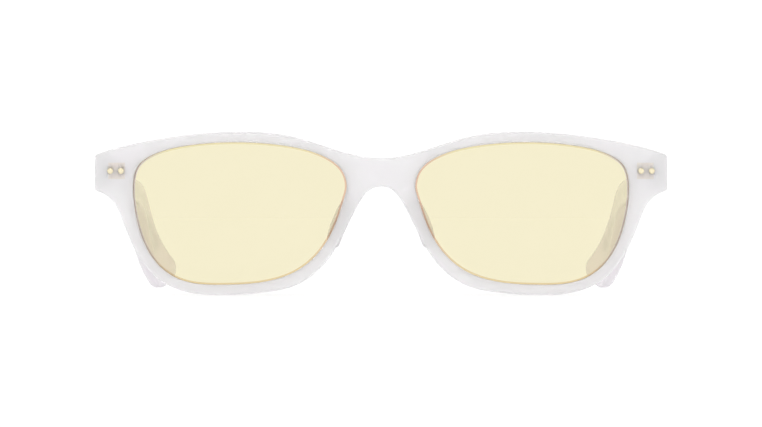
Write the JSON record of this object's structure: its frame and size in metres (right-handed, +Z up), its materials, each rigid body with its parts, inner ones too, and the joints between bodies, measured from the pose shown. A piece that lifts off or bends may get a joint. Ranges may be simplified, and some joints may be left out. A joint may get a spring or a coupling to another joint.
{
  "type": "blue light glasses",
  "caption": "Crystal acetate glasses with pale yellow blue-light lenses, a saddle bridge with nose pads, and temples that fold on riveted barrel hinges.",
  "frame": {"origin": "on the surface that the glasses stand on, under the middle of their width and of their length with the temples open", "axes": "+Z up, -Y the way the wearer looks, +X to the wearer's left"},
  "size_m": [0.14, 0.1446, 0.0398],
  "materials": {
    "crystal_acetate": "polished, clear with a faint milky lilac tone",
    "tinted_lens": "polished and anti-reflection coated, pale yellow",
    "hinge_metal": "nickel silver, satin",
    "core_metal": "nickel silver, drawn",
    "screw_steel": "stainless steel, turned",
    "pale_gold": "pale gold plate, polished"
  },
  "bodies": {
    "front": {"front_frame": "crystal_acetate", "nose_pad_left": "crystal_acetate", "nose_pad_right": "crystal_acetate", "lens_left": "tinted_lens", "lens_right": "tinted_lens", "front_rivets_left": "pale_gold", "front_rivets_right": "pale_gold", "front_hinge_left": "hinge_metal", "front_hinge_right": "hinge_metal", "hinge_screw_left": "screw_steel", "hinge_screw_right": "screw_steel"},
    "temple_left": {"temple_left": "crystal_acetate", "temple_hinge_left": "hinge_metal", "temple_rivets_left": "pale_gold", "core_wire_left": "core_metal"},
    "temple_right": {"temple_right": "crystal_acetate", "temple_hinge_right": "hinge_metal", "temple_rivets_right": "pale_gold", "core_wire_right": "core_metal"}
  },
  "joints": [
    {"name": "left_temple_fold", "type": "hinge", "parent": "front", "child": "temple_left", "pos_m": [0.06367, -0.05964, 0.0303], "axis": [0, 0, 1], "range_deg": [0, 89]},
    {"name": "right_temple_fold", "type": "hinge", "parent": "front", "child": "temple_right", "pos_m": [-0.06367, -0.05964, 0.0303], "axis": [0, 0, -1], "range_deg": [0, 80]}
  ]
}
